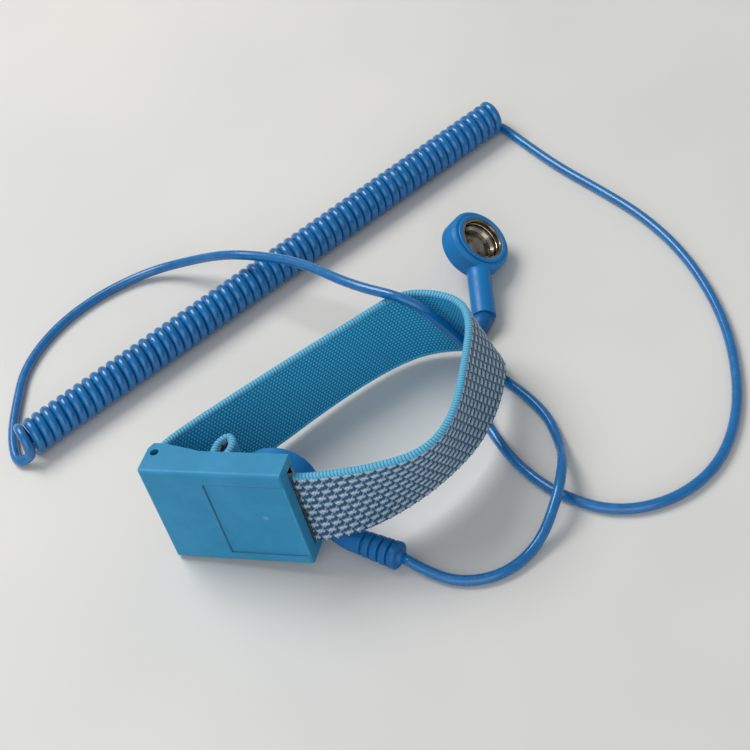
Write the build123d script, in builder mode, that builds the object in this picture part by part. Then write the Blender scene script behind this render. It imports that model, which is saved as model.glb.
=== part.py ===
"""Wrist strap for earthing the wearer: an elastic band in a clamp buckle, with a curly cord
between two round press-snap connectors. Millimetres, +Z up, standing on the table at z = 0."""

from build123d import *
import math
import os

os.makedirs("parts", exist_ok=True)

# Buckle shell
buckle_length = 32.5
buckle_height = 27.2
buckle_depth = 6.5
hinge_depth = 8.4
hinge_land = 3.2
hump_end = 12.4
floor_wall = 1.4
side_wall = 2.4
stud_block = 3.4
block_length = 16.2
label_length = 18.3
label_height = 21.2
label_recess = 0.3
edge_round = 0.9

# Hinge pin and clamp lever
pin_radius = 1.0
pin_recess = 1.5
pin_from_end = 1.95
pin_depth = 5.8
lever_hub = 2.2
lever_reach = 7.9
lever_play = 0.3
tooth_count = 4

# Elastic band
band_width = 20.0
band_thickness = 1.8
selvedge = 1.6
selvedge_thickness = 2.0
slot_slack = 0.3
band_gap = 0.1
tail_loop = 2.6

# Plates, rivets and press stud
plate = 0.6
plate_overhang = 0.35
rivet_radius = 0.6
rivet_head = 1.3
rivet_spread = 11.6
rivet_rows = 12.4
stud_from_end = 7.55
stud_head = 4.95
stud_rise = 2.6
stud_flange = 6.0
stud_shank = 1.6
back_flange = 0.5
fit = 0.05

# Snap connectors
socket_bore = 5.0
snap_radius = 8.1
snap_height = 5.8
snap_gap = 1.4
cap_radius = 7.0
cap_thickness = 1.1
cup_wall = 0.45
cup_depth = 2.9
groove = 0.6
ring_wire = 0.23
stem_radius = 2.9
core_radius = 2.2
neck_length = 9.6
collar_count = 4
collar_width = 1.7
collar_gap = 0.8

# Cord
cord_radius = 1.17
coil_radius = 4.55
end_gap = 0.3

# The strap leans back on its hinge end, the connector's stem and the far side of the band.
strap_lift = 5.3
strap_lean = 5.0
strap_origin = (-13.2, -33.95, 2.17)
strap_x = Vector(1, 0, 0).rotate(Axis.Y, -strap_lift)
strap_up = Vector(0, 0, 1).rotate(Axis.X, -strap_lean).rotate(Axis.Y, -strap_lift)
strap = Plane(origin=strap_origin, x_dir=strap_x, z_dir=strap_up)
inward = strap.y_dir


def at(x, depth, height):
    """The point at a place along the buckle, a depth behind its face and a height above its base."""
    return strap.from_local_coords(Vector(x, depth, height))


def level(height):
    """A plane parallel to the buckle's base: x along the buckle, y into the loop."""
    return strap.offset(height)


def face(depth):
    """A plane parallel to the buckle's outer face: x along the buckle, y up; extruding goes outwards."""
    return Plane(origin=at(0, depth, 0), x_dir=strap_x, z_dir=inward * -1)


def soft_radii(points, share=0.45):
    """The largest radius that each corner's two runs allow, as share of the shorter run."""
    radii = []
    for before, here, after in zip(points, points[1:], points[2:]):
        arriving = Vector(here) - Vector(before)
        leaving = Vector(after) - Vector(here)
        half_turn = math.radians(arriving.get_angle(leaving)) / 2
        radii.append(share * min(arriving.length, leaving.length) / math.tan(half_turn))
    return radii


def save(piece, name):
    piece.part.label = name
    export_step(piece.part, f"parts/{name}.step")


# Places that several pieces share, in the buckle's own directions
left_end = -buckle_length / 2
right_end = buckle_length / 2
mid_height = buckle_height / 2
pin_x = left_end + pin_from_end
stud_x = right_end - stud_from_end
block_x = right_end - block_length
plate_depth = stud_block
band_fixed = plate_depth + plate + band_gap + band_thickness / 2
retainer_depth = band_fixed + band_thickness / 2 + band_gap
band_low = side_wall + slot_slack
band_high = band_low + band_width
clamp_gap = 0.1
band_free = floor_wall + clamp_gap + band_thickness / 2
bend_radius = pin_depth - band_free

# The band's line, seen from above the strap: fixed end, round the wrist, round the hub, tail
band_points = [
    (block_x + 1.2, band_fixed),
    (right_end + 4.5, band_fixed),
    (34.0, 9.9),
    (45.3, 19.2),
    (46.4, 43.0),
    (44.8, 59.2),
    (35.6, 65.5),
    (25.2, 64.5),
    (13.6, 51.8),
    (-8.0, 25.0),
    (pin_x - bend_radius, 12.0),
    (pin_x - bend_radius, pin_depth),
]
tail_x = pin_x + lever_reach + 2.6
tail_turn = 2.4

# ---------------------------------------------------------------- buckle
with BuildPart() as buckle_base:
    with BuildSketch(level(0)):
        with BuildLine():
            Polyline(
                (left_end, 0),
                (right_end, 0),
                (right_end, buckle_depth),
                (left_end + hump_end, buckle_depth),
                (left_end + hinge_land, hinge_depth),
                (left_end + 0.8, hinge_depth),
                (left_end, hinge_depth - 1.6),
                close=True,
            )
        make_face()
    extrude(amount=buckle_height)
    rounded = buckle_base.faces().sort_by(Axis(at(0, 0, 0), inward))[0].edges()
    fillet(rounded, edge_round)
    inner_height = buckle_height - 2 * side_wall
    with BuildSketch(level(side_wall)):
        with Locations(((left_end + block_x) / 2, floor_wall + hinge_depth / 2)):
            Rectangle(block_x - left_end + 0.001, hinge_depth)
        with Locations(((block_x + right_end) / 2, stud_block + hinge_depth / 2)):
            Rectangle(block_length + 0.001, hinge_depth)
    extrude(amount=inner_height, mode=Mode.SUBTRACT)
    with BuildSketch(face(0)):
        with Locations((right_end - label_length / 2, mid_height - 0.35)):
            Rectangle(label_length, label_height)
    extrude(amount=-label_recess, mode=Mode.SUBTRACT)
    with BuildSketch(level(0)):
        with Locations((pin_x, pin_depth)):
            Circle(pin_radius)
    extrude(amount=buckle_height, mode=Mode.SUBTRACT)
    with BuildSketch(face(stud_block)):
        with Locations((stud_x, mid_height)):
            Circle(stud_shank * 2 + fit)
    extrude(amount=back_flange + fit, dir=inward * -1, mode=Mode.SUBTRACT)
    with BuildSketch(face(stud_block)):
        with Locations((stud_x, mid_height)):
            with GridLocations(rivet_spread, rivet_rows, 2, 2):
                Circle(rivet_radius)
    extrude(amount=1.4, dir=inward * -1, mode=Mode.SUBTRACT)
save(buckle_base, "buckle_base")

with BuildPart() as hinge_pin:
    with BuildSketch(level(pin_recess)):
        with Locations((pin_x, pin_depth)):
            Circle(pin_radius)
    extrude(amount=buckle_height - 2 * pin_recess)
save(hinge_pin, "hinge_pin")

lever_height = buckle_height - 2 * side_wall - 2 * lever_play
lever_tip = pin_x + lever_reach
lever_under = band_free + band_thickness / 2 + lever_play
with BuildPart() as clamp_lever:
    with BuildSketch(level(side_wall + lever_play)):
        with Locations((pin_x, pin_depth)):
            Circle(lever_hub)
        with BuildLine():
            Polyline(
                (pin_x, lever_under + 0.05),
                (lever_tip - 2.0, lever_under + 0.05),
                (lever_tip, lever_under + 1.2),
                (lever_tip, pin_depth + 1.1),
                (pin_x, pin_depth + lever_hub),
                close=True,
            )
        make_face()
        with Locations((pin_x, pin_depth)):
            Circle(pin_radius + fit, mode=Mode.SUBTRACT)
    extrude(amount=lever_height)
    tooth_pitch = 1.2
    with BuildSketch(level(side_wall + lever_play)):
        for tooth in range(tooth_count):
            with Locations((pin_x + 1.1 + tooth * tooth_pitch, lever_under + 0.05)):
                RegularPolygon(0.35, 3, rotation=90)
    extrude(amount=lever_height, mode=Mode.SUBTRACT)
save(clamp_lever, "clamp_lever")

plate_height = band_width + 1.2
with BuildPart() as contact_plate:
    with BuildSketch(face(plate_depth)):
        with Locations(((block_x + 0.6 + right_end + plate_overhang) / 2, mid_height)):
            RectangleRounded(block_length - 0.6 + plate_overhang, plate_height, 0.8)
        with Locations((stud_x, mid_height)):
            Circle(stud_shank, mode=Mode.SUBTRACT)
            with GridLocations(rivet_spread, rivet_rows, 2, 2):
                Circle(rivet_radius, mode=Mode.SUBTRACT)
    extrude(amount=plate, dir=inward)
save(contact_plate, "contact_plate")

retainer_length = block_length - 0.9
with BuildPart() as retainer_plate:
    with BuildSketch(face(retainer_depth)):
        with Locations(((block_x + right_end) / 2 + 0.1, mid_height)):
            RectangleRounded(retainer_length, inner_height - 0.2, 1.2)
        with Locations((stud_x, mid_height)):
            Circle(stud_shank, mode=Mode.SUBTRACT)
            with GridLocations(rivet_spread, rivet_rows, 2, 2):
                Circle(rivet_radius, mode=Mode.SUBTRACT)
    extrude(amount=plate, dir=inward)
save(retainer_plate, "retainer_plate")

head_depth = retainer_depth + plate
with BuildPart() as plate_rivets:
    with BuildSketch(face(head_depth)):
        with Locations((stud_x, mid_height)):
            with GridLocations(rivet_spread, rivet_rows, 2, 2):
                Circle(rivet_head)
    extrude(amount=0.4, dir=inward)
    fillet(plate_rivets.faces().sort_by(Axis(at(0, 0, 0), inward))[-4:].edges(), 0.3)
    with BuildSketch(face(head_depth)):
        with Locations((stud_x, mid_height)):
            with GridLocations(rivet_spread, rivet_rows, 2, 2):
                Circle(rivet_radius)
    extrude(amount=head_depth - stud_block + 1.3, dir=inward * -1)
save(plate_rivets, "plate_rivets")

# ---------------------------------------------------------------- press stud
stud_frame = Plane(origin=at(stud_x, head_depth, mid_height), x_dir=strap_x, z_dir=inward)
stud_axis = Axis(stud_frame.origin, inward)


def profile_plane(seat):
    """The plane through a seat's axis: x is the radius, y the distance along the seat's normal."""
    return Plane(origin=seat.origin, x_dir=seat.x_dir, z_dir=seat.y_dir * -1)


flange_height = 0.5
flare_radius = 2.6
flare_height = 0.4
dish_radius = 3.7
dish_floor = flange_height + 0.45
with BuildPart() as snap_stud:
    with BuildSketch(profile_plane(stud_frame)):
        with BuildLine():
            Polyline(
                (stud_shank + fit, 0),
                (stud_flange, 0),
                (stud_flange, flange_height),
                (stud_head - 0.35, flange_height),
                (stud_head - 0.35, flange_height + 0.7),
                (stud_head, flange_height + 1.3),
                (stud_head, flange_height + stud_rise - 0.6),
                (stud_head - 0.6, flange_height + stud_rise),
                (dish_radius, flange_height + stud_rise),
                (dish_radius, dish_floor),
                (stud_shank + fit, dish_floor),
                close=True,
            )
        make_face()
    revolve(axis=stud_axis)
save(snap_stud, "snap_stud")

rivet_back = head_depth - stud_block
with BuildPart() as stud_rivet:
    with BuildSketch(profile_plane(stud_frame)):
        with BuildLine():
            Polyline(
                (0, -rivet_back - back_flange),
                (stud_shank * 2, -rivet_back - back_flange),
                (stud_shank * 2, -rivet_back),
                (stud_shank, -rivet_back),
                (stud_shank, dish_floor + fit),
                (flare_radius, dish_floor + fit),
                (flare_radius, dish_floor + fit + flare_height),
                (0.8, dish_floor + fit + flare_height),
                (0.8, -rivet_back + 0.4),
                (0, -rivet_back + 0.4),
                close=True,
            )
        make_face()
    revolve(axis=stud_axis)
save(stud_rivet, "stud_rivet")

# ---------------------------------------------------------------- elastic band
band_radii = soft_radii(band_points)
hub_end = (pin_x, band_free)
tail_start = (tail_x - tail_turn, band_free)
tail_bend_end = (tail_x, band_free + tail_turn)
tail_top = (tail_x, 13.2 - tail_loop + band_thickness / 2)


def band_line(height):
    """The band's line at a height, from its fixed end to where the tail loop starts."""
    with BuildLine(level(height)) as line:
        around = FilletPolyline(*band_points, radius=band_radii)
        hub = RadiusArc(around @ 1, hub_end, -bend_radius)
        under = Line(hub @ 1, tail_start)
        rise = RadiusArc(under @ 1, tail_bend_end, -tail_turn)
        Line(rise @ 1, tail_top)
    return line.line


def band_strip(low, high, thickness):
    """A strip of the band between two heights, swept along its line, with the sewn loop on its tail."""
    with BuildPart() as strip:
        path = band_line((low + high) / 2)
        start = Plane(origin=path @ 0, x_dir=inward, z_dir=path % 0)
        with BuildSketch(start):
            Rectangle(thickness, high - low)
        sweep(path=path)
        with BuildSketch(level(low)):
            with Locations((tail_x, 13.2)):
                Circle(tail_loop + (thickness - band_thickness) / 2)
                Circle(tail_loop - (thickness + band_thickness) / 2, mode=Mode.SUBTRACT)
        extrude(amount=high - low)
        with BuildSketch(face(band_fixed)):
            with Locations((stud_x, mid_height)):
                Circle(stud_shank)
                with GridLocations(rivet_spread, rivet_rows, 2, 2):
                    Circle(rivet_radius)
        extrude(amount=band_thickness, both=True, mode=Mode.SUBTRACT)
    return strip


band_web = band_strip(band_low + selvedge, band_high - selvedge, band_thickness)
save(band_web, "band_web")
lower_selvedge = band_strip(band_low, band_low + selvedge, selvedge_thickness)
save(lower_selvedge, "lower_selvedge")
upper_selvedge = band_strip(band_high - selvedge, band_high, selvedge_thickness)
save(upper_selvedge, "upper_selvedge")

# ---------------------------------------------------------------- snap connectors
# Each seat's origin is the middle of the socket's mouth; its normal leaves the mouth,
# and its x points along the stem.
mouth_depth = head_depth + snap_gap
stem_corner = Vector(7.2, -25.2, stem_radius + 0.02)
stem_end = Vector(21.0, -29.0, stem_radius + 0.02)
wrist_mouth = at(stud_x, mouth_depth, mid_height)
stem_aim = Vector(5.9, -24.8, stem_radius) - wrist_mouth
wrist_along = stem_aim - inward * stem_aim.dot(inward)
wrist_seat = Plane(origin=wrist_mouth, x_dir=wrist_along.normalized(), z_dir=inward * -1)

ground_normal = Vector(0.652, 0.019, 0.758).normalized()
ground_mouth = Vector(20.6, 60.2, 9.5)
ground_middle = ground_mouth - ground_normal * (snap_height / 2)
ground_end = Vector(24.4, 40.9, stem_radius + 0.02)
ground_raw = ground_end - ground_middle
ground_along = ground_raw - ground_normal * ground_raw.dot(ground_normal)
ground_neck = ground_along.length
ground_seat = Plane(origin=ground_mouth, x_dir=ground_along.normalized(), z_dir=ground_normal)

rim_radius = socket_bore + cup_wall + groove + 0.4
rim_rise = 0.3
groove_top = 0.9
groove_width = 0.8
cup_outer = socket_bore + cup_wall
bulge = cup_outer + groove
bulge_low = groove_top + groove_width + cup_wall
shank = 1.05
wall_end = cup_depth - 0.6
wire_hole = 1.3
wire_hole_start = bulge + 0.15


def socket_cup(seat):
    with BuildPart() as cup:
        with BuildSketch(profile_plane(seat)):
            with BuildLine():
                Polyline(
                    (shank, -cup_depth - cup_wall),
                    (cup_outer, -cup_depth - cup_wall),
                    (cup_outer, -bulge_low),
                    (bulge, -bulge_low),
                    (bulge, -0.5),
                    (rim_radius, -0.5),
                    (rim_radius, rim_rise),
                    (socket_bore + 0.2, rim_rise),
                    (socket_bore, rim_rise - 0.2),
                    (socket_bore, -groove_top),
                    (socket_bore + groove, -groove_top),
                    (socket_bore + groove, -groove_top - groove_width),
                    (socket_bore, -groove_top - groove_width),
                    (socket_bore, -wall_end),
                    (socket_bore - 0.6, -cup_depth),
                    (shank, -cup_depth),
                    close=True,
                )
            make_face()
        revolve(axis=Axis(seat.origin, seat.z_dir))
    return cup


def spring_ring(seat):
    """The wire ring that grips the stud, open by a short gap."""
    middle = groove_top + groove_width / 2
    wire_centre = socket_bore + fit + ring_wire
    with BuildPart() as ring:
        with BuildSketch(profile_plane(seat)):
            with Locations((wire_centre, -middle)):
                Circle(ring_wire)
        revolve(axis=Axis(seat.origin, seat.z_dir), revolution_arc=345)
    return ring


def snap_housing(seat, neck, bore):
    """The moulded disc with its socket recess, terminal chamber and neck."""
    with BuildPart() as housing:
        with BuildSketch(profile_plane(seat)):
            with BuildLine():
                Polyline(
                    (rim_radius, 0),
                    (snap_radius - 0.7, 0),
                    (snap_radius, -0.7),
                    (snap_radius, -snap_height + 0.5),
                    (snap_radius - 0.5, -snap_height),
                    (cap_radius, -snap_height),
                    (cap_radius, -snap_height + cap_thickness),
                    (cap_radius - 0.6, -snap_height + cap_thickness),
                    (cap_radius - 0.6, -cup_depth - cup_wall),
                    (cup_outer, -cup_depth - cup_wall),
                    (cup_outer, -bulge_low),
                    (bulge, -bulge_low),
                    (bulge, -0.5),
                    (rim_radius, -0.5),
                    close=True,
                )
            make_face()
        revolve(axis=Axis(seat.origin, seat.z_dir))
        middle = seat.origin - seat.z_dir * (snap_height / 2)
        with BuildSketch(Plane(origin=middle + seat.x_dir * (snap_radius - 0.9), z_dir=seat.x_dir)):
            Circle(stem_radius)
        extrude(amount=neck - snap_radius + 0.9)
        with BuildSketch(Plane(origin=middle + seat.x_dir * wire_hole_start, z_dir=seat.x_dir)):
            Circle(wire_hole)
        extrude(amount=bore - wire_hole_start, mode=Mode.SUBTRACT)
    return housing


def back_cap(seat):
    with BuildPart() as cap:
        with BuildSketch(profile_plane(seat)):
            with BuildLine():
                Polyline(
                    (0, -snap_height + cap_thickness),
                    (cap_radius, -snap_height + cap_thickness),
                    (cap_radius, -snap_height),
                    (cap_radius - 0.4, -snap_height - 0.25),
                    (0, -snap_height - 0.25),
                    close=True,
                )
            make_face()
        revolve(axis=Axis(seat.origin, seat.z_dir))
    return cap


def socket_rivet(seat):
    back = cup_depth + cup_wall
    terminal = 0.4
    with BuildPart() as rivet:
        with BuildSketch(profile_plane(seat)):
            with BuildLine():
                Polyline(
                    (0, -cup_depth + 0.4),
                    (2.2, -cup_depth + 0.4),
                    (2.2, -cup_depth),
                    (shank, -cup_depth),
                    (shank, -back - terminal),
                    (1.9, -back - terminal),
                    (1.9, -back - terminal - 0.4),
                    (0, -back - terminal - 0.4),
                    close=True,
                )
            make_face()
        revolve(axis=Axis(seat.origin, seat.z_dir))
    return rivet


def ring_terminal(seat):
    """The eyelet under the socket, with a tab and a crimp barrel towards the neck."""
    back = seat.offset(-cup_depth - cup_wall)
    with BuildPart() as terminal:
        with BuildSketch(back):
            Circle(3.0)
            with Locations((3.4, 0)):
                Rectangle(2.4, 1.6)
            Circle(shank, mode=Mode.SUBTRACT)
        extrude(amount=-0.4)
        barrel = back.origin - seat.z_dir * 0.65 + seat.x_dir * 4.0
        with BuildSketch(Plane(origin=barrel, z_dir=seat.x_dir)):
            Circle(0.6)
        extrude(amount=2.2)
    return terminal


for end, seat, neck, bore in (
    ("wrist", wrist_seat, neck_length, neck_length + 1.0),
    ("ground", ground_seat, ground_neck, neck_length - 1.0),
):
    save(snap_housing(seat, neck, bore), f"{end}_snap_housing")
    save(back_cap(seat), f"{end}_back_cap")
    save(socket_cup(seat), f"{end}_socket_cup")
    save(spring_ring(seat), f"{end}_spring_ring")
    save(socket_rivet(seat), f"{end}_socket_rivet")
    save(ring_terminal(seat), f"{end}_ring_terminal")

wrist_middle = wrist_seat.origin - wrist_seat.z_dir * (snap_height / 2)
with BuildPart() as resistor:
    with BuildSketch(Plane(origin=wrist_middle + wrist_seat.x_dir * 6.4, z_dir=wrist_seat.x_dir)):
        Circle(0.3)
    extrude(amount=0.7)
    with BuildSketch(Plane(origin=wrist_middle + wrist_seat.x_dir * 7.1, z_dir=wrist_seat.x_dir)):
        Circle(1.15)
    extrude(amount=4.8)
    fillet(resistor.edges().filter_by(GeomType.CIRCLE).group_by(SortBy.RADIUS)[-1], 0.4)
save(resistor, "series_resistor")

# The moulded strain relief bends from the neck down to the table and ends in collars.
relief_start = wrist_middle + wrist_seat.x_dir * neck_length
relief_corner = wrist_middle + wrist_seat.x_dir * (neck_length + 3.8)
relief_points = [relief_start, relief_corner, stem_corner, stem_end]
relief_radii = soft_radii(relief_points)
relief_way = (relief_points[3] - relief_points[2]).normalized()
collars_length = collar_count * (collar_width + collar_gap)
sleeve_points = relief_points[:3] + [stem_end - relief_way * collars_length]
with BuildPart() as strain_relief:
    with BuildLine() as core_path:
        FilletPolyline(*relief_points, radius=relief_radii)
    with BuildSketch(Plane(origin=relief_start, z_dir=wrist_seat.x_dir)):
        Circle(core_radius)
    sweep(path=core_path.line)
    with BuildLine() as sleeve_path:
        FilletPolyline(*sleeve_points, radius=relief_radii)
    with BuildSketch(Plane(origin=relief_start, z_dir=wrist_seat.x_dir)):
        Circle(stem_radius)
    sweep(path=sleeve_path.line)
    for collar in range(collar_count):
        back_off = collar * (collar_width + collar_gap) + collar_width
        with BuildSketch(Plane(origin=stem_end - relief_way * back_off, z_dir=relief_way)):
            Circle(stem_radius - 0.1)
        extrude(amount=collar_width)
    with BuildSketch(Plane(origin=relief_start, z_dir=wrist_seat.x_dir)):
        Circle(wire_hole)
    extrude(amount=2.6, mode=Mode.SUBTRACT)
save(strain_relief, "wrist_strain_relief")

# ---------------------------------------------------------------- cord
rest = cord_radius + 0.02
coil_start = Vector(-75.2, -9.2, coil_radius)
coil_end = Vector(11.7, 110.7, coil_radius)
coil_way = (coil_end - coil_start).normalized()
with BuildPart() as curly_cord:
    with BuildSketch(Plane(origin=coil_start, z_dir=coil_way)):
        Circle(coil_radius)
    extrude(amount=(coil_end - coil_start).length)
save(curly_cord, "curly_cord")

lead_start = stem_end + relief_way * end_gap
wrist_route = [
    (lead_start.X, lead_start.Y, lead_start.Z),
    (26.6, -31.0, 1.5),
    (34.6, -32.6, rest),
    (43.2, -29.4, rest),
    (49.0, -21.6, 1.6),
    (51.6, -12.8, 6.2),
    (51.3, -3.0, 6.2),
    (49.0, 5.6, 1.5),
    (43.0, 16.2, rest),
    (27.2, 27.0, rest),
    (19.3, 27.2, 11.4),
    (9.0, 28.9, 26.0),
    (-8.6, 36.4, 19.6),
    (-21.0, 41.4, 16.4),
    (-31.0, 44.6, 13.8),
    (-41.6, 47.4, 12.4),
    (-53.6, 50.8, 6.0),
    (-66.4, 50.2, 1.6),
    (-77.4, 41.0, rest),
    (-84.8, 29.0, rest),
    (-87.6, 15.4, rest),
    (-85.2, 2.2, rest),
    (-79.4, -7.2, rest),
    (-73.2, -10.4, rest),
]
ground_stem_end = ground_middle + ground_seat.x_dir * ground_neck
ground_route = [
    (10.6, 110.2, rest),
    (20.4, 104.6, rest),
    (32.8, 95.9, rest),
    (44.3, 88.3, rest),
    (56.4, 79.6, rest),
    (67.6, 67.8, rest),
    (77.0, 52.6, rest),
    (83.0, 37.0, rest),
    (85.9, 19.4, rest),
    (83.4, 4.0, rest),
    (75.0, -6.4, rest),
    (63.0, -10.8, rest),
    (50.4, -7.6, rest),
    (39.8, -0.4, rest),
    (31.4, 9.6, rest),
    (26.4, 17.6, rest),
    (23.4, 25.6, rest),
    (23.0, 33.4, rest),
    (ground_stem_end.X, ground_stem_end.Y, ground_stem_end.Z),
]


def lead(route):
    """A cord's tube: straight runs joined by tangent arcs as large as the runs allow."""
    radii = soft_radii(route)
    print("radii in diameters", [round(radius / (2 * cord_radius), 1) for radius in radii])
    with BuildPart() as tube:
        with BuildLine():
            way = FilletPolyline(*route, radius=radii)
        with BuildSketch(Plane(origin=way @ 0, z_dir=way % 0)):
            Circle(cord_radius)
        sweep(path=way)
    expected = math.pi * cord_radius**2 * way.length
    print("length", round(way.length, 1), "volume ratio", round(tube.part.volume / expected, 4))
    return tube


save(lead(wrist_route), "wrist_lead")
save(lead(ground_route), "ground_lead")
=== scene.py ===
# %% [markdown]
# # An anti-static wrist strap
# The strap is an elastic woven band in a moulded clamp buckle. A press snap on the band's
# inside takes a round connector, and from it a curly cord runs to a second, free connector.
# We first load the solid model as a fixed frame. Every piece made here is in metres and in
# that same frame, so a piece goes where the frame says.

# %% Load the frame
import bpy
import math
import random
import numpy as np
from mathutils import Matrix, Vector


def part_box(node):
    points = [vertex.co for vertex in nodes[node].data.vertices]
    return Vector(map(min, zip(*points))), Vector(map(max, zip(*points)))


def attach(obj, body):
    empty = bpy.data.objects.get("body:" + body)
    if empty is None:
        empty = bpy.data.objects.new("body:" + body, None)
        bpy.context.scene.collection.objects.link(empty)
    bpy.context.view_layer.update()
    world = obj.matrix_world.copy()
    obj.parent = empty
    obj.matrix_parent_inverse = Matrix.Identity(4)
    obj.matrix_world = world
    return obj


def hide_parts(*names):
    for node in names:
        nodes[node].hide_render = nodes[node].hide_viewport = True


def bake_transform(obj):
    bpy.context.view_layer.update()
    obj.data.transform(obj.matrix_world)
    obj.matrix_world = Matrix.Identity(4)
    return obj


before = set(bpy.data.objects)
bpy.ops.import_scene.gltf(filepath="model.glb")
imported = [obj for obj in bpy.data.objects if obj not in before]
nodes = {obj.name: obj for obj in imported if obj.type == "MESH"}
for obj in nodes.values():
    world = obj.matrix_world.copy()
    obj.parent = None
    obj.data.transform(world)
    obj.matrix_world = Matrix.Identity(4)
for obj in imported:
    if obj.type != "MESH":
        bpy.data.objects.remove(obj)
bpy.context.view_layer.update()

# %% [markdown]
# ## Camera
# A long lens from the front right, about 47 degrees above the table, with a slight roll.
# A long lens keeps the curly cord's far end about as thick as its near end. The camera is
# placed by its position and its three axes, which is exact and needs no aiming constraint.

# %% Place the camera
LENS_MM, SENSOR_MM = 76.8, 36.0
CAMERA_PLACE = (0.110486, -0.208646, 0.277255)
camera = bpy.data.objects.new("camera", bpy.data.cameras.new("camera"))
bpy.context.scene.collection.objects.link(camera)
bpy.context.scene.camera = camera
camera.data.lens = LENS_MM
camera.data.sensor_width = SENSOR_MM
camera.data.clip_start = 0.01
camera.data.clip_end = 10.0
right = Vector((0.95436, 0.24455, -0.17146))
up = Vector((-0.07457, 0.75099, 0.65609))
back = Vector((0.28921, -0.61336, 0.73495))
axes = Matrix((right, up, back)).transposed().to_4x4()
camera.matrix_world = Matrix.Translation(CAMERA_PLACE) @ axes
print("camera stands", round(1000 * camera.location.length), "mm from the strap")

# %% [markdown]
# ## Table and light
# The table is one large pale sheet. A wide soft lamp high on the left, behind the strap,
# gives the long soft shadows towards the front right; a much wider lamp in front lifts them.
# The sky is a plain pale grey. The view transform is Standard, so that a colour that is
# mixed here comes out as that colour.

# %% Make the table and the lamps
scene = bpy.context.scene
scene.view_settings.view_transform = "Standard"
scene.view_settings.look = "None"


def soft_lamp(name, place, aim, size, watts, colour):
    """A square area lamp at a place, facing a point."""
    lamp = bpy.data.objects.new(name, bpy.data.lights.new(name, "AREA"))
    lamp.data.size = size
    lamp.data.energy = watts
    lamp.data.color = colour
    lamp.location = place
    lamp.rotation_mode = "QUATERNION"
    lamp.rotation_quaternion = (Vector(place) - Vector(aim)).to_track_quat("Z", "Y")
    scene.collection.objects.link(lamp)
    return lamp


soft_lamp("window", (-0.50, 0.20, 0.74), (0, 0.03, 0), 0.50, 6.0, (1.0, 0.985, 0.955))
soft_lamp("fill", (0.10, -0.90, 0.55), (0, 0, 0), 1.2, 6.0, (0.96, 0.98, 1.0))
sky = bpy.data.worlds.new("sky")
sky.use_nodes = True
sky.node_tree.nodes["Background"].inputs["Color"].default_value = (0.92, 0.94, 0.97, 1)
sky.node_tree.nodes["Background"].inputs["Strength"].default_value = 0.37
scene.world = sky

TABLE_HALF = 2
table_signs = ((-1, -1), (1, -1), (1, 1), (-1, 1))
table_corners = [(x * TABLE_HALF, y * TABLE_HALF, 0) for x, y in table_signs]
table_mesh = bpy.data.meshes.new("table")
table_mesh.from_pydata(table_corners, [], [(0, 1, 2, 3)])
table = bpy.data.objects.new("table", table_mesh)
scene.collection.objects.link(table)

# %% [markdown]
# ## Shared effects
# Every finish here is procedural. Three effects are used by several finishes, so each is a
# node group: a fine mottle for moulded plastic, a mask that paints edges pale, partly worn and
# partly as a painted highlight, and a grain bump.
# The groups put out colours, masks and normals only.

# %% Helpers that build node groups and finishes


def new_group(name, inputs, outputs):
    """A shader node group with its sockets, and its input and output nodes."""
    group = bpy.data.node_groups.new(name, "ShaderNodeTree")
    for label, kind, value in inputs:
        socket = group.interface.new_socket(label, in_out="INPUT", socket_type=kind)
        if value is not None:
            socket.default_value = value
    for label, kind in outputs:
        group.interface.new_socket(label, in_out="OUTPUT", socket_type=kind)
    return group, group.nodes.new("NodeGroupInput"), group.nodes.new("NodeGroupOutput")


def add(tree, kind, settings=None, **values):
    """A node with its settings and the values of its named inputs."""
    node = tree.nodes.new(kind)
    for key, value in (settings or {}).items():
        setattr(node, key, value)
    for key, value in values.items():
        name = key.replace("_", " ")
        if isinstance(value, bpy.types.NodeSocket):
            tree.links.new(value, node.inputs[name])
        else:
            node.inputs[name].default_value = value
    return node


def maths(tree, operation, first, second=0.0, third=0.0):
    """One Math node; numbers and sockets may be mixed."""
    node = tree.nodes.new("ShaderNodeMath")
    node.operation = operation
    for index, value in enumerate((first, second, third)):
        if isinstance(value, bpy.types.NodeSocket):
            tree.links.new(value, node.inputs[index])
        else:
            node.inputs[index].default_value = value
    return node.outputs[0]


def mix_colour(tree, share, first, second, blend="MIX"):
    """A colour between two colours."""
    node = tree.nodes.new("ShaderNodeMix")
    node.data_type = "RGBA"
    node.blend_type = blend
    # For colours, a Mix node keeps its share and its two inputs at places 0, 6 and 7.
    for index, value in ((0, share), (6, first), (7, second)):
        if isinstance(value, bpy.types.NodeSocket):
            tree.links.new(value, node.inputs[index])
        else:
            node.inputs[index].default_value = value
    return node.outputs[2]


def ramp(tree, value, low, high, floor=0.0, ceiling=1.0):
    """A value's share between low and high, eased, as floor to ceiling."""
    node = tree.nodes.new("ShaderNodeMapRange")
    node.interpolation_type = "SMOOTHSTEP"
    tree.links.new(value, node.inputs[0])
    for index, number in enumerate((low, high, floor, ceiling)):
        node.inputs[index + 1].default_value = number
    return node.outputs[0]


def rgb(red, green, blue):
    """A colour from screen values 0 to 255."""
    linear = []
    for part in (red, green, blue):
        share = part / 255
        linear.append(share / 12.92 if share <= 0.04045 else ((share + 0.055) / 1.055) ** 2.4)
    return (*linear, 1.0)


print("a mid grey is", [round(v, 3) for v in rgb(128, 128, 128)])

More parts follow.
